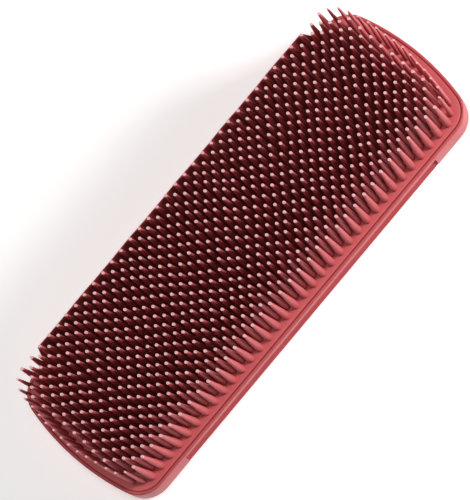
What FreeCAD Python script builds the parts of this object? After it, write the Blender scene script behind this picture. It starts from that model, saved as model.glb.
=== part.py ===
import FreeCAD
import Part
import math
import os

from FreeCAD import Vector

# Rubber curry brush, in millimetres. It rests on its flat back with the bristles up.
# +X runs along the brush, +Y across it, +Z towards the bristle tips, and the origin
# is the middle of the back face.

# Body outline: straight long sides, bowed short ends and round corners
body_length = 154.0
body_width = 50.8
body_height = 10.0
corner_radius = 8.8
end_bow_radius = 78.0
back_edge_radius = 2.2

# Back tray that carries the bristle pad
rim_width = 1.1
rim_round = 0.5
ledge_inset = 3.5
floor_thickness = 2.0
rib_width = 1.4
rib_height = 2.4
rib_stations = (-54.0, 0.0, 54.0)

# Soft grip strips let into the long sides
grip_length = 112.0
grip_height = 7.7
grip_back_y = 23.4
grip_foot_y = 25.1
grip_waist_y = 24.45
grip_waist_z = 5.0
grip_top_y = 24.5
grip_foot_radius = 1.4

# Rubber sheet of the bristle pad
sheet_thickness = 1.6
sheet_gap = 0.15
sheet_edge_round = 0.3

# Bristles: rows along the brush, every other row shifted by half a pitch, and a closer
# row of slimmer bristles that follows each bowed end
bristle_pitch = 4.0
row_spacing = bristle_pitch / 2
side_row_y = 22.0
side_row_reach = 66.5
field_inset = 5.2
end_row_inset = 3.7
end_row_spacing = 3.15
end_row_count = 15
bristle_length = 22.5
foot_radius = 1.36
foot_height = 2.5
shank_radius = 1.08
slim_foot_radius = 0.9
slim_shank_radius = 0.82
tip_radius = 0.53

# Scraper blade along the far edge of the sheet, upright inside and thinning upwards
blade_inner_y = 23.42
blade_edge = 0.25
blade_height = 18.5
blade_root = 0.8
blade_length = 125.0
blade_top_length = 117.0

# Stiff core under the rubber sheet, with pegs that push into the tray's sockets
core_thickness = 1.8
core_gap = 0.3
core_rib_gap = 0.1
core_rib_length = 18.0
peg_offset = 13.0
peg_radius = 1.70
peg_clearance = 0.05
peg_end_gap = 0.9
peg_chamfer = 0.4
socket_wall = 1.45
socket_gap = 0.2
lock_stations = (-36.0, -18.0, 18.0, 36.0)
lock_offset = 8.0
lock_hole_radius = 1.6
lock_clearance = 0.03

flat = 1e-4
sheet_outer_y = body_width / 2 - rim_width - sheet_gap
ledge_z = body_height - sheet_thickness
core_z = ledge_z - core_thickness
rib_z = floor_thickness + rib_height
socket_z = core_z - socket_gap
socket_radius = peg_radius + peg_clearance
peg_places = [(x, y) for x in rib_stations for y in (-peg_offset, peg_offset)]
lock_places = [(x, y) for x in lock_stations for y in (-lock_offset, lock_offset)]


def corner_centre_x():
    """X of a corner arc's centre, where the arc meets the long side and the bowed end."""
    bow_centre = body_length / 2 - end_bow_radius
    reach = end_bow_radius - corner_radius
    rise = body_width / 2 - corner_radius
    return bow_centre + math.sqrt(reach ** 2 - rise ** 2)


def arc(centre, radius, start, end):
    """Arc edge from one angle to another, in degrees, around a centre in the XY plane."""
    circle = Part.Circle(centre, Vector(0, 0, 1), radius)
    return Part.Arc(circle, math.radians(start), math.radians(end)).toShape()


def outline(inset, z):
    """Closed wire of the body's outline, moved inwards by inset, at height z."""
    side_y = body_width / 2 - inset
    corner_x = corner_centre_x()
    corner_y = body_width / 2 - corner_radius
    bow_x = body_length / 2 - end_bow_radius
    turn = math.degrees(math.atan2(corner_y, corner_x - bow_x))
    bow = end_bow_radius - inset
    corner = corner_radius - inset
    edges = [
        arc(Vector(bow_x, 0, z), bow, -turn, turn),
        arc(Vector(corner_x, corner_y, z), corner, turn, 90),
        Part.makeLine(Vector(corner_x, side_y, z), Vector(-corner_x, side_y, z)),
        arc(Vector(-corner_x, corner_y, z), corner, 90, 180 - turn),
        arc(Vector(-bow_x, 0, z), bow, 180 - turn, 180 + turn),
        arc(Vector(-corner_x, -corner_y, z), corner, 180 + turn, 270),
        Part.makeLine(Vector(-corner_x, -side_y, z), Vector(corner_x, -side_y, z)),
        arc(Vector(corner_x, -corner_y, z), corner, 270, 360 - turn),
    ]
    return Part.Wire(edges)


def slab(inset, bottom, top):
    """Solid with the body's outline, moved inwards by inset, between two heights."""
    return Part.Face(outline(inset, bottom)).extrude(Vector(0, 0, top - bottom))


def edges_at(shape, z):
    """Edges of a shape that lie flat at height z."""
    return [e for e in shape.Edges if e.BoundBox.ZLength < flat and abs(e.BoundBox.ZMin - z) < flat]


def faces_at(shape, z):
    """Faces of a shape that lie flat at height z."""
    return [f for f in shape.Faces if f.BoundBox.ZLength < flat and abs(f.BoundBox.ZMin - z) < flat]


def box(x_range, y_range, z_range):
    """Box between two limits on each axis."""
    size = [limits[1] - limits[0] for limits in (x_range, y_range, z_range)]
    return Part.makeBox(*size, Vector(x_range[0], y_range[0], z_range[0]))


def post(place, radius, bottom, top):
    """Upright cylinder at a place between two heights."""
    return Part.makeCylinder(radius, top - bottom, Vector(place[0], place[1], bottom))


def make_back_shell():
    """Hollow back: rounded tray with a ledge and rim for the pad, ribs and peg sockets."""
    shell = slab(0, 0, body_height)
    shell = shell.makeFillet(back_edge_radius, edges_at(shell, 0))
    shell = shell.cut(slab(rim_width, ledge_z, body_height + 1))
    shell = shell.makeFillet(rim_round, edges_at(shell, body_height))
    shell = shell.cut(slab(ledge_inset, floor_thickness, ledge_z))

    cavity = slab(ledge_inset, 0, ledge_z)
    half_width = body_width / 2
    for x in rib_stations:
        rib = box((x - rib_width / 2, x + rib_width / 2),
                  (-half_width, half_width),
                  (floor_thickness / 2, rib_z))
        shell = shell.fuse(rib.common(cavity))
    for place in peg_places:
        shell = shell.fuse(post(place, socket_radius + socket_wall, floor_thickness / 2, socket_z))
    for place in peg_places:
        shell = shell.cut(post(place, socket_radius, floor_thickness, socket_z + 1))

    half_grip = grip_length / 2
    for y_range in ((-half_width - 1, -grip_back_y), (grip_back_y, half_width + 1)):
        shell = shell.cut(box((-half_grip, half_grip), y_range, (-1, grip_height)))
    return shell.removeSplitter()


def make_side_grip(side):
    """Soft strip in a long side, with a shallow finger hollow. side is +1 or -1."""
    x = -grip_length / 2
    corners = {
        "back": Vector(x, grip_back_y, 0),
        "foot": Vector(x, grip_foot_y - grip_foot_radius, 0),
        "turn": Vector(x, grip_foot_y - grip_foot_radius * (1 - math.sqrt(0.5)),
                       grip_foot_radius * (1 - math.sqrt(0.5))),
        "heel": Vector(x, grip_foot_y, grip_foot_radius),
        "waist": Vector(x, grip_waist_y, grip_waist_z),
        "lip": Vector(x, grip_top_y, grip_height),
        "root": Vector(x, grip_back_y, grip_height),
    }
    section = Part.Wire([
        Part.makeLine(corners["back"], corners["foot"]),
        Part.Arc(corners["foot"], corners["turn"], corners["heel"]).toShape(),
        Part.Arc(corners["heel"], corners["waist"], corners["lip"]).toShape(),
        Part.makeLine(corners["lip"], corners["root"]),
        Part.makeLine(corners["root"], corners["back"]),
    ])
    strip = Part.Face(section).extrude(Vector(grip_length, 0, 0))
    if side < 0:
        strip = strip.rotate(Vector(0, 0, 0), Vector(0, 0, 1), 180)
    return strip


def make_pad_core():
    """Stiff plate bonded under the rubber sheet, with ribs, pegs and moulding lock holes."""
    core = slab(ledge_inset + core_gap, core_z, ledge_z)
    for x in rib_stations:
        rib = box((x - rib_width / 2, x + rib_width / 2),
                  (-core_rib_length / 2, core_rib_length / 2),
                  (rib_z + core_rib_gap, core_z))
        core = core.fuse(rib)
    peg_end = floor_thickness + peg_end_gap
    for place in peg_places:
        peg = post(place, peg_radius, peg_end, core_z)
        core = core.fuse(peg.makeChamfer(peg_chamfer, edges_at(peg, peg_end)))
    for place in lock_places:
        core = core.cut(post(place, lock_hole_radius, core_z - 1, ledge_z + 1))
    return core.removeSplitter()


def in_bristle_field(x, y):
    """True where the rows stand: out to the side rows, and well inside each bowed end."""
    x, y = abs(x), abs(y)
    if y > side_row_y:
        return False
    if x <= side_row_reach:
        return True
    inset = end_bow_radius - math.hypot(x - body_length / 2 + end_bow_radius, y)
    corner_y = body_width / 2 - corner_radius
    if y > corner_y:
        inset = min(inset, corner_radius - math.hypot(x - corner_centre_x(), y - corner_y))
    return inset >= field_inset


def row_places():
    """Bristle centres of the rows: a grid whose odd rows are shifted by half a pitch."""
    rows = int(body_width / 2 / row_spacing)
    columns = int(body_length / 2 / bristle_pitch)
    places = []
    for row in range(-rows, rows + 1):
        shift = bristle_pitch / 2 if row % 2 else 0.0
        for column in range(-columns - 1, columns + 1):
            x = column * bristle_pitch + shift
            y = row * row_spacing
            if in_bristle_field(x, y):
                places.append((x, y))
    return places


def end_row_places():
    """Bristle centres of both end rows, evenly spaced along the bow and round the corners."""
    bow_x = body_length / 2 - end_bow_radius
    corner_x = corner_centre_x()
    corner_y = body_width / 2 - corner_radius
    turn = math.atan2(corner_y, corner_x - bow_x)
    bow = end_bow_radius - end_row_inset
    corner = corner_radius - end_row_inset
    places = []
    for number in range(end_row_count):
        along = (number - (end_row_count - 1) / 2) * end_row_spacing
        past_bow = abs(along) - bow * turn
        if past_bow < 0:
            x = bow_x + bow * math.cos(along / bow)
            y = bow * math.sin(along / bow)
        else:
            angle = turn + past_bow / corner
            x = corner_x + corner * math.cos(angle)
            y = math.copysign(corner_y + corner * math.sin(angle), along)
        places += [(x, y), (-x, y)]
    return places


def bristle_skin(foot, shank):
    """Open skin of one bristle on the Z axis: flared foot, tapered shank and flat tip."""
    tip = body_height + bristle_length
    profile = Part.makePolygon([
        Vector(foot, 0, body_height),
        Vector(shank, 0, body_height + foot_height),
        Vector(tip_radius, 0, tip),
        Vector(0, 0, tip),
    ])
    return profile.revolve(Vector(0, 0, 0), Vector(0, 0, 1), 360)


def make_scraper_blade():
    """Rubber blade on the far edge of the sheet, with sloping ends and a root let into it."""
    foot_z = body_height - blade_root
    side = Part.makePolygon([
        Vector(-blade_length / 2, blade_inner_y, foot_z),
        Vector(blade_length / 2, blade_inner_y, foot_z),
        Vector(blade_length / 2, blade_inner_y, body_height),
        Vector(blade_top_length / 2, blade_inner_y, body_height + blade_height),
        Vector(-blade_top_length / 2, blade_inner_y, body_height + blade_height),
        Vector(-blade_length / 2, blade_inner_y, body_height),
        Vector(-blade_length / 2, blade_inner_y, foot_z),
    ])
    blade = Part.Face(side).extrude(Vector(0, sheet_outer_y - blade_inner_y, 0))
    section = Part.makePolygon([
        Vector(-body_length, sheet_outer_y, body_height),
        Vector(-body_length, sheet_outer_y, body_height + blade_height),
        Vector(-body_length, blade_inner_y + blade_edge, body_height + blade_height),
        Vector(-body_length, sheet_outer_y, body_height),
    ])
    return blade.cut(Part.Face(section).extrude(Vector(2 * body_length, 0, 0)))


def make_bristle_pad():
    """Rubber moulding: flanged sheet, lock plugs below it and a field of bristles above."""
    sheet = slab(rim_width + sheet_gap, ledge_z, body_height)
    sheet = sheet.makeFillet(sheet_edge_round, edges_at(sheet, body_height))
    sheet = sheet.cut(box((-blade_length / 2, blade_length / 2),
                          (blade_inner_y, sheet_outer_y + 1),
                          (body_height - blade_root, body_height + 1)))
    for place in lock_places:
        sheet = sheet.fuse(post(place, lock_hole_radius - lock_clearance, core_z, ledge_z))

    top = max(faces_at(sheet, body_height), key=lambda face: face.Area)
    faces = [face for face in sheet.Faces if not face.isSame(top)]
    feet = []
    for places, foot, shank in (
        (row_places(), foot_radius, shank_radius),
        (end_row_places(), slim_foot_radius, slim_shank_radius),
    ):
        skin = bristle_skin(foot, shank)
        for x, y in places:
            circle = Part.Circle(Vector(x, y, body_height), Vector(0, 0, -1), foot)
            feet.append(Part.Wire(circle.toShape()))
            faces += skin.translated(Vector(x, y, 0)).Faces
    faces.append(Part.Face(top.Wires + feet))
    shell = Part.Shell(faces)
    shell.sewShape()
    pad = Part.Solid(shell)
    if pad.Volume < 0:
        pad.reverse()
    print("bristles", len(feet))
    return pad


def main():
    """Build every piece and write one STEP file for each."""
    pieces = {
        "back_shell": make_back_shell(),
        "side_grip_front": make_side_grip(-1),
        "side_grip_rear": make_side_grip(1),
        "pad_core": make_pad_core(),
        "bristle_pad": make_bristle_pad(),
        "scraper_blade": make_scraper_blade(),
    }
    os.makedirs("parts", exist_ok=True)
    for name, shape in pieces.items():
        shape.exportStep(os.path.join("parts", name + ".step"))
        print(name, "valid", shape.isValid(), "solids", len(shape.Solids), "volume", round(shape.Volume, 1))


main()
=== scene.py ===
import bpy
import bmesh
import math
from mathutils import Matrix, Vector


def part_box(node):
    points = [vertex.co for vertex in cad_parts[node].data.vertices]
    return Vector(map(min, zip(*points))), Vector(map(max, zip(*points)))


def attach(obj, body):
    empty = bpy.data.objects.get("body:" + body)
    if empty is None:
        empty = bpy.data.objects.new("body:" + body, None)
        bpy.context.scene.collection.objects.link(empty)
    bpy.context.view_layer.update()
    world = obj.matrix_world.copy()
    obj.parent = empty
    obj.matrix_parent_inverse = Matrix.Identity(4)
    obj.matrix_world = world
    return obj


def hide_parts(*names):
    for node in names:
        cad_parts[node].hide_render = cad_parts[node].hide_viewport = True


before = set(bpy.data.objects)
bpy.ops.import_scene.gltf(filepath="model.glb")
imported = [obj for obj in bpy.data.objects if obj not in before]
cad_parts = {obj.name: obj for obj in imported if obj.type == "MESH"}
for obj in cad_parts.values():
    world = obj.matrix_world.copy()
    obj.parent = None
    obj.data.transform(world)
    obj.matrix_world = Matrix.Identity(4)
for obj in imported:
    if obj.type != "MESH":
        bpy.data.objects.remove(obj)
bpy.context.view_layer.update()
print("frame loaded:", len(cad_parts), "nodes")

mm = 0.001
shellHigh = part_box("back_shell")[1]
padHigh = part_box("bristle_pad")[1]
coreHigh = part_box("pad_core")[1]
bladeLow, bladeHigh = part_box("scraper_blade")


# small helpers

def addNode(tree, kind, inputs=None, **settings):
    node = tree.nodes.new(kind)
    for key, value in settings.items():
        setattr(node, key, value)
    for key, value in (inputs or {}).items():
        socket = node.inputs[key]
        if isinstance(value, bpy.types.NodeSocket):
            tree.links.new(value, socket)
        else:
            socket.default_value = value
    return node


def math2(tree, operation, first, second=0.0):
    return addNode(tree, "ShaderNodeMath", {0: first, 1: second}, operation=operation).outputs[0]


def setCurve(node, points):
    curve = node.mapping.curves[0]
    while len(curve.points) < len(points):
        curve.points.new(0.5, 0.5)
    for spot, (x, y) in zip(curve.points, points):
        spot.location = (x, y)
        spot.handle_type = "AUTO_CLAMPED"
    node.mapping.update()


def newPiece(name, mesh, material):
    piece = bpy.data.objects.new(name, mesh)
    bpy.context.scene.collection.objects.link(piece)
    mesh.materials.clear()
    mesh.materials.append(material)
    return piece


def meshFromRings(name, rings):
    # closed skin through rings of equal length, with a flat face at each end
    bm = bmesh.new()
    rows = [[bm.verts.new(point) for point in ring] for ring in rings]
    count = len(rows[0])
    for low, high in zip(rows, rows[1:]):
        for i in range(count):
            j = (i + 1) % count
            bm.faces.new((low[i], low[j], high[j], high[i]))
    bm.faces.new(list(reversed(rows[0])))
    bm.faces.new(rows[-1])
    bmesh.ops.recalc_face_normals(bm, faces=bm.faces)
    mesh = bpy.data.meshes.new(name)
    bm.to_mesh(mesh)
    bm.free()
    return mesh


def sharpenBy(mesh, degrees):
    mesh.shade_smooth()
    mesh.set_sharp_from_angle(angle=math.radians(degrees))


# outline of the brush

outlineShape = {
    "cornerRadius": 8.8 * mm,
    "endBowRadius": 78.0 * mm,
    "cornerSteps": 14,
    "bowSteps": 16,
    "sideSteps": 24,
}


def arcPoints(centre, radius, start, end, steps, z):
    turn = [start + (end - start) * i / steps for i in range(steps)]
    return [Vector((centre[0] + radius * math.cos(a), centre[1] + radius * math.sin(a), z)) for a in turn]


def outlineRing(inset, z):
    halfLength = shellHigh.x
    halfWidth = shellHigh.y
    bowX = halfLength - outlineShape["endBowRadius"]
    reach = outlineShape["endBowRadius"] - outlineShape["cornerRadius"]
    cornerY = halfWidth - outlineShape["cornerRadius"]
    cornerX = bowX + math.sqrt(reach ** 2 - cornerY ** 2)
    turn = math.atan2(cornerY, cornerX - bowX)
    bow = outlineShape["endBowRadius"] - inset
    corner = outlineShape["cornerRadius"] - inset
    cornerSteps = outlineShape["cornerSteps"]
    sideSteps = outlineShape["sideSteps"]
    ring = arcPoints((bowX, 0), bow, -turn, turn, outlineShape["bowSteps"], z)
    ring += arcPoints((cornerX, cornerY), corner, turn, math.pi / 2, cornerSteps, z)
    for i in range(sideSteps):
        ring.append(Vector((cornerX - 2 * cornerX * i / sideSteps, halfWidth - inset, z)))
    ring += arcPoints((-cornerX, cornerY), corner, math.pi / 2, math.pi - turn, cornerSteps, z)
    ring += arcPoints((-bowX, 0), bow, math.pi - turn, math.pi + turn, outlineShape["bowSteps"], z)
    ring += arcPoints((-cornerX, -cornerY), corner, math.pi + turn, 1.5 * math.pi, cornerSteps, z)
    for i in range(sideSteps):
        ring.append(Vector((-cornerX + 2 * cornerX * i / sideSteps, inset - halfWidth, z)))
    ring += arcPoints((cornerX, -cornerY), corner, 1.5 * math.pi, 2 * math.pi - turn, cornerSteps, z)
    return ring


# materials

def colourRamp(tree, share, stops):
    ramp = addNode(tree, "ShaderNodeValToRGB", {0: share})
    while len(ramp.color_ramp.elements) < len(stops):
        ramp.color_ramp.elements.new(0.5)
    for stop, (at, shade) in zip(ramp.color_ramp.elements, stops):
        stop.position = at
        stop.color = shade
    return ramp.outputs[0]


def surfaceMaterial(name, look):
    # noise-mottled colour, uneven gloss and a fine moulded grain, all on Object coordinates
    material = bpy.data.materials.new(name)
    material.use_nodes = True
    tree = material.node_tree
    shader = tree.nodes["Principled BSDF"]
    place = addNode(tree, "ShaderNodeTexCoord").outputs["Object"]
    mottle = addNode(tree, "ShaderNodeTexNoise",
                     {"Vector": place, "Scale": look["mottleScale"], "Detail": 4.0, "Roughness": 0.6})
    tint = addNode(tree, "ShaderNodeMix", {0: mottle.outputs["Fac"], 6: look["deep"], 7: look["pale"]},
                   data_type="RGBA")
    colour = tint.outputs[2]
    if "heightTint" in look:
        height = addNode(tree, "ShaderNodeSeparateXYZ", {0: place}).outputs["Z"]
        bottom, top = look["heightRange"]
        share = addNode(tree, "ShaderNodeMapRange", {0: height, 1: bottom, 2: top}).outputs[0]
        # colour multiplied by height: darker and deeper red towards the foot, full colour at the tip
        heightColour = colourRamp(tree, share, look["heightTint"])
        colour = addNode(tree, "ShaderNodeMix", {0: 1.0, 6: colour, 7: heightColour},
                         data_type="RGBA", blend_type="MULTIPLY").outputs[2]
        # paler pink over the last few per cent of height: partly dust and wear on the tips, partly a painted
        # highlight
        tipDustAndHighlight = addNode(tree, "ShaderNodeMapRange", {0: share, 1: look["tipDustAndHighlightFrom"], 2: 1.0, 3: 0.0,
                                                     4: look["tipDustAndHighlightAmount"]}).outputs[0]
        colour = addNode(tree, "ShaderNodeMix", {0: tipDustAndHighlight, 6: colour, 7: look["tipDustAndHighlight"]},
                         data_type="RGBA").outputs[2]
    tree.links.new(colour, shader.inputs["Base Color"])
    gloss = addNode(tree, "ShaderNodeTexNoise", {"Vector": place, "Scale": look["glossScale"], "Detail": 3.0})
    rough = addNode(tree, "ShaderNodeMapRange", {0: gloss.outputs["Fac"], 1: 0.3, 2: 0.7,
                                                 3: look["roughness"][0], 4: look["roughness"][1]})
    tree.links.new(rough.outputs[0], shader.inputs["Roughness"])
    grain = addNode(tree, "ShaderNodeTexNoise", {"Vector": place, "Scale": look["grainScale"], "Detail": 2.0})
    bump = addNode(tree, "ShaderNodeBump", {"Height": grain.outputs["Fac"], "Strength": look["grain"],
                                            "Distance": look["grainDepth"]})
    tree.links.new(bump.outputs[0], shader.inputs["Normal"])
    shader.inputs["Specular IOR Level"].default_value = look["specular"]
    shader.inputs["Sheen Weight"].default_value = look.get("sheen", 0.0)
    shader.inputs["Sheen Roughness"].default_value = 0.5
    return material


sheetTop = shellHigh.z
bristleTop = padHigh.z

bristleLook = {
    "deep": (0.52, 0.118, 0.130, 1), "pale": (0.60, 0.158, 0.172, 1), "mottleScale": 160.0,
    "heightRange": (sheetTop, bristleTop),
    # multiplies the rubber colour with height, deeper at the foot than at the tip
    "heightTint": [(0.0, (0.84, 0.54, 0.54, 1)), (0.5, (0.90, 0.66, 0.66, 1)), (1.0, (1.0, 1.0, 1.0, 1))],
    # pale tip colour, partly dust and wear, partly painted highlight
    "tipDustAndHighlight": (0.95, 0.55, 0.56, 1), "tipDustAndHighlightFrom": 0.962, "tipDustAndHighlightAmount": 0.95,
    "roughness": (0.50, 0.66), "glossScale": 300.0,
    "grain": 0.25, "grainScale": 2600.0, "grainDepth": 0.05 * mm,
    "specular": 0.28,
}
sheetLook = {
    "deep": (0.56, 0.092, 0.100, 1), "pale": (0.64, 0.124, 0.132, 1), "mottleScale": 90.0,
    "roughness": (0.45, 0.62), "glossScale": 140.0,
    "grain": 0.3, "grainScale": 1800.0, "grainDepth": 0.06 * mm,
    "specular": 0.40, "sheen": 0.06,
}
bladeLook = dict(sheetLook, deep=(0.42, 0.052, 0.058, 1), pale=(0.50, 0.075, 0.082, 1), mottleScale=120.0)
gripLook = {
    "deep": (0.36, 0.040, 0.046, 1), "pale": (0.42, 0.054, 0.060, 1), "mottleScale": 110.0,
    "roughness": (0.55, 0.72), "glossScale": 160.0,
    "grain": 0.45, "grainScale": 1500.0, "grainDepth": 0.10 * mm,
    "specular": 0.18,
}
shellLook = {
    "deep": (0.45, 0.070, 0.077, 1), "pale": (0.52, 0.092, 0.099, 1), "mottleScale": 45.0,
    "roughness": (0.38, 0.52), "glossScale": 80.0,
    "grain": 0.2, "grainScale": 900.0, "grainDepth": 0.04 * mm,
    "specular": 0.36,
}
coreLook = {
    "deep": (0.22, 0.020, 0.024, 1), "pale": (0.28, 0.030, 0.034, 1), "mottleScale": 70.0,
    "roughness": (0.45, 0.60), "glossScale": 120.0,
    "grain": 0.3, "grainScale": 1200.0, "grainDepth": 0.05 * mm,
    "specular": 0.4,
}
bristleRubber = surfaceMaterial("bristleRubber", bristleLook)
sheetRubber = surfaceMaterial("sheetRubber", sheetLook)
bladeRubber = surfaceMaterial("bladeRubber", bladeLook)
gripRubber = surfaceMaterial("gripRubber", gripLook)
shellPlastic = surfaceMaterial("shellPlastic", shellLook)
corePlastic = surfaceMaterial("corePlastic", coreLook)
print("materials made")


# bristle field

bristleShape = {
    "pitch": 4.0 * mm,
    "rowGap": 2.0 * mm,
    "columns": 41,
    "rows": 25,
    "fieldInset": 5.2 * mm,
    "sideRowY": 22.0 * mm,
    "sideRowReach": 66.5 * mm,
    "endRowInset": 3.7 * mm,
    "endRowSpacing": 3.15 * mm,
    "endRowCount": 15,
    "sunk": 0.15 * mm,
    "sides": 8,
    "widest": 1.38 * mm,
    "slimGirth": 0.68,
    # share of the height up the bristle, and share of the widest radius there
    "rings": [(0.0, 0.87), (0.03, 0.84), (0.11, 0.79), (0.30, 0.72), (0.55, 0.62), (0.78, 0.53),
              (0.975, 0.44), (1.0, 0.34)],
    "lean": 0.42 * mm,
    "leanPatch": 55.0,
    "jitter": 0.17 * mm,
    "heightJitter": 0.006,
    "seed": 7,
}


def rowPlaces(tree, given):
    # grid of places, with every other row moved half a pitch
    spanX = math2(tree, "MULTIPLY", given["Pitch"], math2(tree, "SUBTRACT", given["Columns"], 1.0))
    spanY = math2(tree, "MULTIPLY", given["Row Gap"], math2(tree, "SUBTRACT", given["Rows"], 1.0))
    grid = addNode(tree, "GeometryNodeMeshGrid",
                   {"Size X": spanX, "Size Y": spanY,
                    "Vertices X": given["Columns"], "Vertices Y": given["Rows"]})
    place = addNode(tree, "GeometryNodeInputPosition").outputs[0]
    across = addNode(tree, "ShaderNodeSeparateXYZ", {0: place}).outputs["Y"]
    row = math2(tree, "ROUND", math2(tree, "DIVIDE", across, given["Row Gap"]))
    odd = math2(tree, "ABSOLUTE", math2(tree, "MODULO", row, 2.0))
    shift = math2(tree, "MULTIPLY", math2(tree, "MULTIPLY", odd, 0.5), given["Pitch"])
    shiftBy = addNode(tree, "ShaderNodeCombineXYZ", {0: shift}).outputs[0]
    staggered = addNode(tree, "GeometryNodeSetPosition",
                        {"Geometry": grid.outputs["Mesh"], "Offset": shiftBy})

    # keep the places over the field face, and stand them on it
    above = addNode(tree, "ShaderNodeVectorMath", {0: place, 1: (0, 0, 1)}, operation="ADD").outputs[0]
    ray = addNode(tree, "GeometryNodeRaycast", {"Target Geometry": given["Field"], "Source Position": above,
                                                "Ray Direction": (0, 0, -1), "Ray Length": 2.0})
    miss = addNode(tree, "FunctionNodeBooleanMath", {0: ray.outputs["Is Hit"]}, operation="NOT").outputs[0]
    inside = addNode(tree, "GeometryNodeDeleteGeometry",
                     {"Geometry": staggered.outputs[0], "Selection": miss}, domain="POINT")
    standing = addNode(tree, "GeometryNodeSetPosition",
                       {"Geometry": inside.outputs[0], "Position": ray.outputs["Hit Position"]})
    points = addNode(tree, "GeometryNodeMeshToPoints", {"Mesh": standing.outputs[0]})
    return addNode(tree, "GeometryNodeStoreNamedAttribute",
                   {"Geometry": points.outputs[0], "Name": "girth", "Value": 1.0}, domain="POINT")


def endRowPlaces(tree, given):
    # slimmer bristles spread evenly along the field mesh's loose edges
    sharing = addNode(tree, "GeometryNodeInputMeshEdgeNeighbors").outputs[0]
    loose = addNode(tree, "FunctionNodeCompare", {"A": sharing, "B": 0}, data_type="INT", operation="EQUAL")
    lines = addNode(tree, "GeometryNodeMeshToCurve", {"Mesh": given["Field"], "Selection": loose.outputs[0]})
    points = addNode(tree, "GeometryNodeCurveToPoints",
                     {"Curve": lines.outputs[0], "Count": given["End Row Count"]})
    return addNode(tree, "GeometryNodeStoreNamedAttribute",
                   {"Geometry": points.outputs[0], "Name": "girth", "Value": given["Slim Girth"]},
                   domain="POINT")


def storeLean(tree, given, points):
    # how far each tip leans: slow patches plus a little of its own
    place = addNode(tree, "GeometryNodeInputPosition").outputs[0]
    patch = addNode(tree, "ShaderNodeTexNoise",
                    {"Vector": place, "Scale": given["Lean Patch"], "Detail": 1.0})
    centred = addNode(tree, "ShaderNodeVectorMath", {0: patch.outputs["Color"], 1: (0.5, 0.5, 0.5)},
                      operation="SUBTRACT").outputs[0]
    patchReach = math2(tree, "MULTIPLY", given["Lean"], 4.0)  # noise strays about a quarter either way
    patchLean = addNode(tree, "ShaderNodeVectorMath", {0: centred, "Scale": patchReach},
                        operation="SCALE").outputs[0]
    own = addNode(tree, "FunctionNodeRandomValue", {0: (-1, -1, 0), 1: (1, 1, 0), "Seed": given["Seed"]},
                  data_type="FLOAT_VECTOR").outputs[0]
    ownLean = addNode(tree, "ShaderNodeVectorMath", {0: own, "Scale": given["Jitter"]},
                      operation="SCALE").outputs[0]
    leanBy = addNode(tree, "ShaderNodeVectorMath", {0: patchLean, 1: ownLean}, operation="ADD").outputs[0]
    return addNode(tree, "GeometryNodeStoreNamedAttribute",
                   {"Geometry": points.outputs[0], "Name": "leanBy", "Value": leanBy},
                   data_type="FLOAT_VECTOR", domain="POINT")


def oneBristle(tree, given, rings):
    # a line swept by a round section whose radius follows the rings
    tip = addNode(tree, "ShaderNodeCombineXYZ", {2: given["Length"]}).outputs[0]
    line = addNode(tree, "GeometryNodeCurvePrimitiveLine", {"Start": (0, 0, 0), "End": tip})
    stations = addNode(tree, "GeometryNodeResampleCurve", {"Curve": line.outputs[0], "Count": len(rings)})
    step = addNode(tree, "GeometryNodeSplineParameter").outputs["Factor"]
    steps = [i / (len(rings) - 1) for i in range(len(rings))]
    rise = addNode(tree, "ShaderNodeFloatCurve", {"Value": step})
    setCurve(rise, [(at, height) for at, (height, radius) in zip(steps, rings)])
    height = math2(tree, "MULTIPLY", rise.outputs[0], given["Length"])
    ringPlace = addNode(tree, "ShaderNodeCombineXYZ", {2: height}).outputs[0]
    spaced = addNode(tree, "GeometryNodeSetPosition",
                     {"Geometry": stations.outputs[0], "Position": ringPlace})
    girth = addNode(tree, "ShaderNodeFloatCurve", {"Value": step})
    setCurve(girth, [(at, radius) for at, (height, radius) in zip(steps, rings)])
    section = addNode(tree, "GeometryNodeCurvePrimitiveCircle",
                      {"Resolution": given["Sides"], "Radius": given["Widest Radius"]})
    return addNode(tree, "GeometryNodeCurveToMesh",
                   {"Curve": spaced.outputs[0], "Profile Curve": section.outputs[0],
                    "Scale": girth.outputs[0], "Fill Caps": True})


def plantBristles(tree, given, points, bristle):
    # one on each point, a little uneven in height, with its foot sunk into the sheet
    tall = addNode(tree, "FunctionNodeRandomValue",
                   {2: math2(tree, "SUBTRACT", 1.0, given["Height Jitter"]), 3: 1.0, "Seed": given["Seed"]},
                   data_type="FLOAT")
    girth = addNode(tree, "GeometryNodeInputNamedAttribute", {"Name": "girth"}, data_type="FLOAT").outputs[0]
    size = addNode(tree, "ShaderNodeCombineXYZ", {0: girth, 1: girth, 2: tall.outputs[1]}).outputs[0]
    planted = addNode(tree, "GeometryNodeInstanceOnPoints",
                      {"Points": points.outputs[0], "Instance": bristle.outputs[0], "Scale": size})
    drop = addNode(tree, "ShaderNodeCombineXYZ", {2: math2(tree, "MULTIPLY", given["Sunk"], -1.0)}).outputs[0]
    sunk = addNode(tree, "GeometryNodeTranslateInstances",
                   {"Instances": planted.outputs[0], "Translation": drop})
    return addNode(tree, "GeometryNodeRealizeInstances", {"Geometry": sunk.outputs[0]})


def bendBristles(tree, planted):
    # each bristle bends by its lean, more and more towards the tip
    place = addNode(tree, "GeometryNodeInputPosition").outputs[0]
    lean = addNode(tree, "GeometryNodeInputNamedAttribute", {"Name": "leanBy"},
                   data_type="FLOAT_VECTOR").outputs[0]
    height = addNode(tree, "ShaderNodeSeparateXYZ", {0: place}).outputs["Z"]
    share = addNode(tree, "ShaderNodeMapRange", {0: height, 1: sheetTop, 2: bristleTop}).outputs[0]
    bendAt = math2(tree, "POWER", share, 1.4)
    flatLean = addNode(tree, "ShaderNodeVectorMath", {0: lean, 1: (1, 1, 0)}, operation="MULTIPLY").outputs[0]
    bend = addNode(tree, "ShaderNodeVectorMath", {0: flatLean, "Scale": bendAt}, operation="SCALE").outputs[0]
    return addNode(tree, "GeometryNodeSetPosition", {"Geometry": planted.outputs[0], "Offset": bend})


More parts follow.
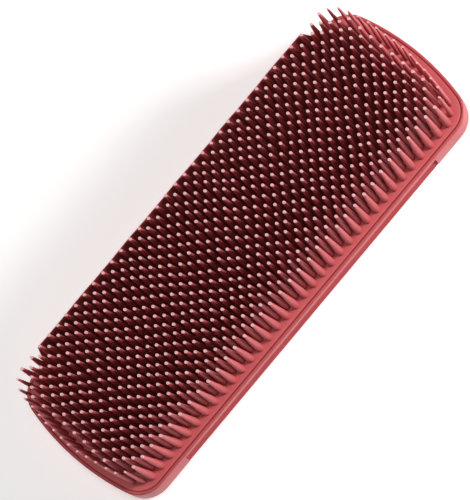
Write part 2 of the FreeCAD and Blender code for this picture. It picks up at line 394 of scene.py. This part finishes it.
def bristleTree(shape):
    tree = bpy.data.node_groups.new("bristleField", "GeometryNodeTree")
    tree.is_modifier = True
    named = {
        "Pitch": ("NodeSocketFloat", shape["pitch"]),
        "Row Gap": ("NodeSocketFloat", shape["rowGap"]),
        "Columns": ("NodeSocketInt", shape["columns"]),
        "Rows": ("NodeSocketInt", shape["rows"]),
        "Sides": ("NodeSocketInt", shape["sides"]),
        "Length": ("NodeSocketFloat", bristleTop - sheetTop + shape["sunk"]),
        "Sunk": ("NodeSocketFloat", shape["sunk"]),
        "Widest Radius": ("NodeSocketFloat", shape["widest"]),
        "End Row Count": ("NodeSocketInt", shape["endRowCount"]),
        "Slim Girth": ("NodeSocketFloat", shape["slimGirth"]),
        "Lean": ("NodeSocketFloat", shape["lean"]),
        "Lean Patch": ("NodeSocketFloat", shape["leanPatch"]),
        "Jitter": ("NodeSocketFloat", shape["jitter"]),
        "Height Jitter": ("NodeSocketFloat", shape["heightJitter"]),
        "Seed": ("NodeSocketInt", shape["seed"]),
        "Rubber": ("NodeSocketMaterial", bristleRubber),
    }
    tree.interface.new_socket(name="Field", in_out="INPUT", socket_type="NodeSocketGeometry")
    sockets = {}
    for name, (kind, value) in named.items():
        sockets[name] = tree.interface.new_socket(name=name, in_out="INPUT", socket_type=kind).identifier
    tree.interface.new_socket(name="Bristles", in_out="OUTPUT", socket_type="NodeSocketGeometry")
    given = addNode(tree, "NodeGroupInput").outputs

    fullPoints = rowPlaces(tree, given)
    slimPoints = endRowPlaces(tree, given)
    points = addNode(tree, "GeometryNodeJoinGeometry")
    for part in (slimPoints, fullPoints):
        tree.links.new(part.outputs[0], points.inputs[0])
    leaning = storeLean(tree, given, points)
    planted = plantBristles(tree, given, leaning, oneBristle(tree, given, shape["rings"]))
    done = bendBristles(tree, planted)
    for name in ("leanBy", "girth"):
        done = addNode(tree, "GeometryNodeRemoveAttribute", {"Geometry": done.outputs[0], "Name": name})
    smooth = addNode(tree, "GeometryNodeSetShadeSmooth", {"Geometry": done.outputs[0]})
    painted = addNode(tree, "GeometryNodeSetMaterial",
                      {"Geometry": smooth.outputs[0], "Material": given["Rubber"]})
    addNode(tree, "NodeGroupOutput", {0: painted.outputs[0]})
    return tree, {sockets[name]: value for name, (kind, value) in named.items()}


def growPiece(name, baseMesh, tree, inputs, material):
    # runs a geometry tree on a base mesh and keeps the result as a plain mesh
    seedBed = newPiece(name + "Base", baseMesh, material)
    modifier = seedBed.modifiers.new("grow", "NODES")
    modifier.node_group = tree
    for socket, value in inputs.items():
        modifier[socket] = value
    graph = bpy.context.evaluated_depsgraph_get()
    mesh = bpy.data.meshes.new_from_object(seedBed.evaluated_get(graph))
    mesh.name = name
    seedBed.modifiers.clear()
    bpy.data.objects.remove(seedBed)
    return newPiece(name, mesh, material)


def endRowLine(shape):
    # bow and corner arcs of one end, cut to the length that the end row takes
    halfRow = shape["endRowSpacing"] * (shape["endRowCount"] - 1) / 2
    ring = outlineRing(shape["endRowInset"], sheetTop)
    ring = [point for point in ring if point.x > 0]
    ring.sort(key=lambda point: point.y)
    above = [point for point in ring if point.y > 0]
    line = []
    walked = above[0].y
    for first, second in zip(above, above[1:]):
        gap = (second - first).length
        line.append(first)
        if walked + gap > halfRow:
            line.append(first.lerp(second, (halfRow - walked) / gap))
            break
        walked += gap
    return [Vector((p.x, -p.y, p.z)) for p in reversed(line)] + line


def fieldMesh(shape):
    # one face that the rows stand on, and a loose line under each end row
    edge = outlineRing(shape["fieldInset"], sheetTop)
    rightEnd = sorted((p for p in edge if p.x > shape["sideRowReach"]), key=lambda p: p.y)
    reach = shape["sideRowReach"]
    sideY = shape["sideRowY"] + shape["rowGap"] / 4  # just past the side rows
    inY = rightEnd[-1].y
    quarter = [Vector((reach, inY, sheetTop)), Vector((reach, sideY, sheetTop))]
    right = [Vector((p.x, -p.y, p.z)) for p in reversed(quarter)] + rightEnd + quarter
    face = right + [Vector((-p.x, -p.y, p.z)) for p in right]
    points = list(face)
    edges = []
    for side in (1, -1):
        line = [Vector((side * p.x, p.y, p.z)) for p in endRowLine(shape)]
        edges += [(len(points) + i, len(points) + i + 1) for i in range(len(line) - 1)]
        points += line
    mesh = bpy.data.meshes.new("fieldFace")
    mesh.from_pydata(points, edges, [list(range(len(face)))])
    return mesh


fieldTree, fieldInputs = bristleTree(bristleShape)
bristles = growPiece("bristle_field", fieldMesh(bristleShape), fieldTree, fieldInputs, bristleRubber)
print("bristles grown:", len(bristles.data.polygons), "faces")


# rubber sheet under the bristles

sheetShape = {
    "inset": 1.16 * mm,
    "underBorder": 2.0 * mm,
    "topBorder": 1.6 * mm,
    "edgeRound": 0.22 * mm,
    "roundSteps": 5,
    "plugRadius": 1.57 * mm,
    "plugDepth": 1.8 * mm,
    "plugX": (18.0 * mm, 36.0 * mm),
    "plugY": 8.0 * mm,
    "plugSides": 20,
}


def makeSheet(shape):
    low = coreHigh.z
    rings = [outlineRing(shape["inset"] + shape["underBorder"], low), outlineRing(shape["inset"], low)]
    for i in range(shape["roundSteps"] + 1):
        turn = math.pi / 2 * i / shape["roundSteps"]
        inset = shape["inset"] + shape["edgeRound"] * (1 - math.cos(turn))
        rings.append(outlineRing(inset, sheetTop - shape["edgeRound"] * (1 - math.sin(turn))))
    rings.append(outlineRing(shape["inset"] + shape["topBorder"], sheetTop))
    mesh = meshFromRings("rubber_sheet", rings)
    bm = bmesh.new()
    bm.from_mesh(mesh)
    depth = shape["plugDepth"]
    for x in shape["plugX"]:
        for side in (-1, 1):
            for end in (-1, 1):
                middle = Matrix.Translation((end * x, side * shape["plugY"], low - depth / 2))
                bmesh.ops.create_cone(bm, cap_ends=True, segments=shape["plugSides"],
                                      radius1=shape["plugRadius"], radius2=shape["plugRadius"],
                                      depth=depth, matrix=middle)
    bm.to_mesh(mesh)
    bm.free()
    sharpenBy(mesh, 50)
    return newPiece("rubber_sheet", mesh, sheetRubber)


sheet = makeSheet(sheetShape)
print("sheet made")


# scraper blade

bladeShape = {
    "topLength": 117.0 * mm,
    "rootDepth": 0.6 * mm,
    "topThickness": 0.27 * mm,
    "wave": 0.10 * mm,
    "waveCount": 5.5,
    "waveStart": 0.7,
    "innerSway": 0.02 * mm,
    # rounded top: depth below it and place across it, in half thicknesses
    "topRound": [(0.6, 0.0), (0.15, 0.3), (0.0, 1.0), (0.15, 1.7), (0.6, 2.0)],
    "lengthSteps": 120,
    "heightSteps": 12,
}


def makeBlade(shape):
    rootHalf = bladeHigh.x
    topHalf = shape["topLength"] / 2
    rise = bladeHigh.z - sheetTop
    innerY = bladeLow.y
    outerY = bladeHigh.y
    steps = shape["heightSteps"]
    shares = [-shape["rootDepth"] / rise] + [i / steps for i in range(steps)]
    rounding = shape["topThickness"] / 2
    rings = []
    for k in range(shape["lengthSteps"] + 1):
        t = 2 * k / shape["lengthSteps"] - 1
        section = []
        for share in shares:
            section.append((share, innerY))
        for depth, across in shape["topRound"]:
            section.append((1 - depth * rounding / rise, innerY + across * rounding))
        for share in reversed(shares):
            lean = max(share, 0)
            section.append((share, outerY + (innerY + shape["topThickness"] - outerY) * lean))
        ring = []
        for share, y in section:
            lean = max(share, 0)
            x = t * (rootHalf + (topHalf - rootHalf) * lean)
            sway = shape["wave"] * math.sin(shape["waveCount"] * math.pi * t + shape["waveStart"]) * lean ** 2
            ring.append(Vector((x, y + max(sway, -shape["innerSway"]), sheetTop + share * rise)))
        rings.append(ring)
    mesh = meshFromRings("scraper_fin", rings)
    sharpenBy(mesh, 60)
    return newPiece("scraper_fin", mesh, bladeRubber)


blade = makeBlade(bladeShape)
print("blade made")


# side grips

gripShape = {
    "innerY": 23.4 * mm,
    "heelInset": 0.3 * mm,
    "footRadius": 1.4 * mm,
    "waistSag": 0.32 * mm,
    "lipY": 24.5 * mm,
    "lipRound": 0.25 * mm,
    "lipCut": 0.3,  # share of lipRound that the middle of the round lies in from the corner
    "groove": 0.55 * mm,
    "waistSteps": 12,
    "footSteps": 6,
    "endRound": 0.35 * mm,
    "endSizes": [(0.0, 0.90), (0.3, 0.97), (1.0, 1.0)],  # share of endRound, and size of the section
    "lengthSteps": 60,
}


def gripSection(shape, top):
    # from the back face, round the foot, over the finger hollow and in at the lip
    heelY = shellHigh.y - shape["heelInset"]
    radius = shape["footRadius"]
    points = [(shape["innerY"], 0.0)]
    for i in range(shape["footSteps"] + 1):
        turn = math.pi / 2 * i / shape["footSteps"]
        points.append((heelY - radius + radius * math.sin(turn), radius - radius * math.cos(turn)))
    reach = top - shape["lipRound"] - radius
    for i in range(1, shape["waistSteps"] + 1):
        share = i / shape["waistSteps"]
        sag = math.sin(math.pi * share) * shape["waistSag"]
        y = heelY + (shape["lipY"] - heelY) * share - sag
        points.append((y, radius + reach * share))
    cut = shape["lipCut"] * shape["lipRound"]
    points.append((shape["lipY"] - cut, top - cut))
    points.append((shape["lipY"] - shape["lipRound"], top))
    points.append((shape["innerY"], top))
    return points


def makeGrip(name, node, side, shape):
    low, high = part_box(node)
    section = gripSection(shape, high.z - shape["groove"])
    centreY = sum(y for y, z in section) / len(section)
    centreZ = sum(z for y, z in section) / len(section)
    length = high.x - low.x
    ends = [(share * shape["endRound"], size) for share, size in shape["endSizes"]]
    count = shape["lengthSteps"]
    inner = length - 2 * shape["endRound"]
    stations = ends + [(shape["endRound"] + inner * i / count, 1.0) for i in range(1, count)]
    stations += [(length - at, size) for at, size in reversed(ends)]
    rings = []
    for at, size in stations:
        ring = []
        for y, z in section:
            y = centreY + (y - centreY) * size
            z = centreZ + (z - centreZ) * size
            ring.append(Vector((low.x + at, side * y, z)))
        rings.append(ring)
    mesh = meshFromRings(name, rings)
    sharpenBy(mesh, 50)
    return newPiece(name, mesh, gripRubber)


gripFront = makeGrip("grip_strip_front", "side_grip_front", -1, gripShape)
gripRear = makeGrip("grip_strip_rear", "side_grip_rear", 1, gripShape)
print("grips made")


# finishes on the CAD pieces that stay

def finishNode(node, material):
    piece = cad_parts[node]
    if not piece.material_slots:
        piece.data.materials.append(material)
    for slot in piece.material_slots:
        slot.material = material


finishNode("back_shell", shellPlastic)
finishNode("pad_core", corePlastic)


# bodies and stand-ins

for piece, body, node, slot in (
    (bristles, "pad", "bristle_pad", "bristle_rubber"),
    (sheet, "pad", "bristle_pad", "bristle_rubber"),
    (blade, "pad", "scraper_blade", "blade"),
    (gripFront, "back", "side_grip_front", "grip"),
    (gripRear, "back", "side_grip_rear", "grip"),
):
    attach(piece, body)
    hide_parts(node)
print("pieces placed")


# floor, light and camera

studio = {
    "floorSize": 3.0,
    "floorDrop": 0.1 * mm,
    "floorColour": (0.90, 0.895, 0.89, 1),
    "worldColour": (1.0, 0.985, 0.98, 1),
    "worldStrength": 0.045,
    "floorGlow": 0.46,
    "keyEnergy": 6.9, "keySize": 0.26, "keyFrom": (0.60, -0.40, 0.36),
    "topEnergy": 2.0, "topSize": 0.25, "topFrom": (0.0, -0.05, 0.9),
    "aim": (0.0, 0.0, 0.015),
    "farEnergy": 2.0, "farSize": 0.5, "farFrom": (-0.4, 0.6, 0.4),
}
cameraSet = {
    "tilt": 16.5,
    "roll": 50.06,
    "distance": 0.955,
    "lens": 237.6,
    "target": (-1.0 * mm, 2.66 * mm, 10.0 * mm),
}


def makeFloor(look):
    mesh = bpy.data.meshes.new("floor")
    half = look["floorSize"] / 2
    z = -look["floorDrop"]
    corners = [(-half, -half, z), (half, -half, z), (half, half, z), (-half, half, z)]
    mesh.from_pydata(corners, [], [(0, 1, 2, 3)])
    material = bpy.data.materials.new("floorPaper")
    material.use_nodes = True
    tree = material.node_tree
    shader = tree.nodes["Principled BSDF"]
    place = addNode(tree, "ShaderNodeTexCoord").outputs["Object"]
    fibre = addNode(tree, "ShaderNodeTexNoise", {"Vector": place, "Scale": 40.0, "Detail": 3.0})
    deep = tuple(0.985 * c for c in look["floorColour"][:3]) + (1,)
    tint = addNode(tree, "ShaderNodeMix", {0: fibre.outputs["Fac"], 6: deep, 7: look["floorColour"]},
                   data_type="RGBA")
    tree.links.new(tint.outputs[2], shader.inputs["Base Color"])
    shader.inputs["Roughness"].default_value = 0.9
    shader.inputs["Emission Color"].default_value = look["floorColour"]
    shader.inputs["Emission Strength"].default_value = look["floorGlow"]
    shader.inputs["Specular IOR Level"].default_value = 0.1
    floor = newPiece("floor", mesh, material)
    return floor


def makeLight(name, energy, size, place, aim):
    lamp = bpy.data.lights.new(name, "AREA")
    lamp.energy = energy
    lamp.size = size
    light = bpy.data.objects.new(name, lamp)
    light.location = place
    light.rotation_euler = (Vector(aim) - Vector(place)).to_track_quat("-Z", "Y").to_euler()
    bpy.context.scene.collection.objects.link(light)
    return light


def makeCamera(view):
    tilt = math.radians(view["tilt"])
    roll = math.radians(view["roll"])
    back = Vector((0, -math.sin(tilt), math.cos(tilt)))
    along = Vector((1, 0, 0))
    up = back.cross(along)
    right = along * math.cos(roll) - up * math.sin(roll)
    top = along * math.sin(roll) + up * math.cos(roll)
    data = bpy.data.cameras.new("camera")
    data.lens = view["lens"]
    data.sensor_width = 36.0
    data.clip_start = 0.01
    camera = bpy.data.objects.new("camera", data)
    place = Vector(view["target"]) + back * view["distance"]
    turn = Matrix((right, top, back)).transposed()
    camera.matrix_world = Matrix.Translation(place) @ turn.to_4x4()
    bpy.context.scene.collection.objects.link(camera)
    bpy.context.scene.camera = camera
    return camera


makeFloor(studio)
for part in ("key", "top", "far"):
    makeLight(part + "Light", studio[part + "Energy"], studio[part + "Size"], studio[part + "From"],
              studio["aim"])
world = bpy.data.worlds.new("studioAir")
world.use_nodes = True
air = world.node_tree.nodes["Background"]
air.inputs["Color"].default_value = studio["worldColour"]
air.inputs["Strength"].default_value = studio["worldStrength"]
bpy.context.scene.world = world
bpy.context.scene.view_settings.view_transform = "Standard"
makeCamera(cameraSet)
print("studio ready")
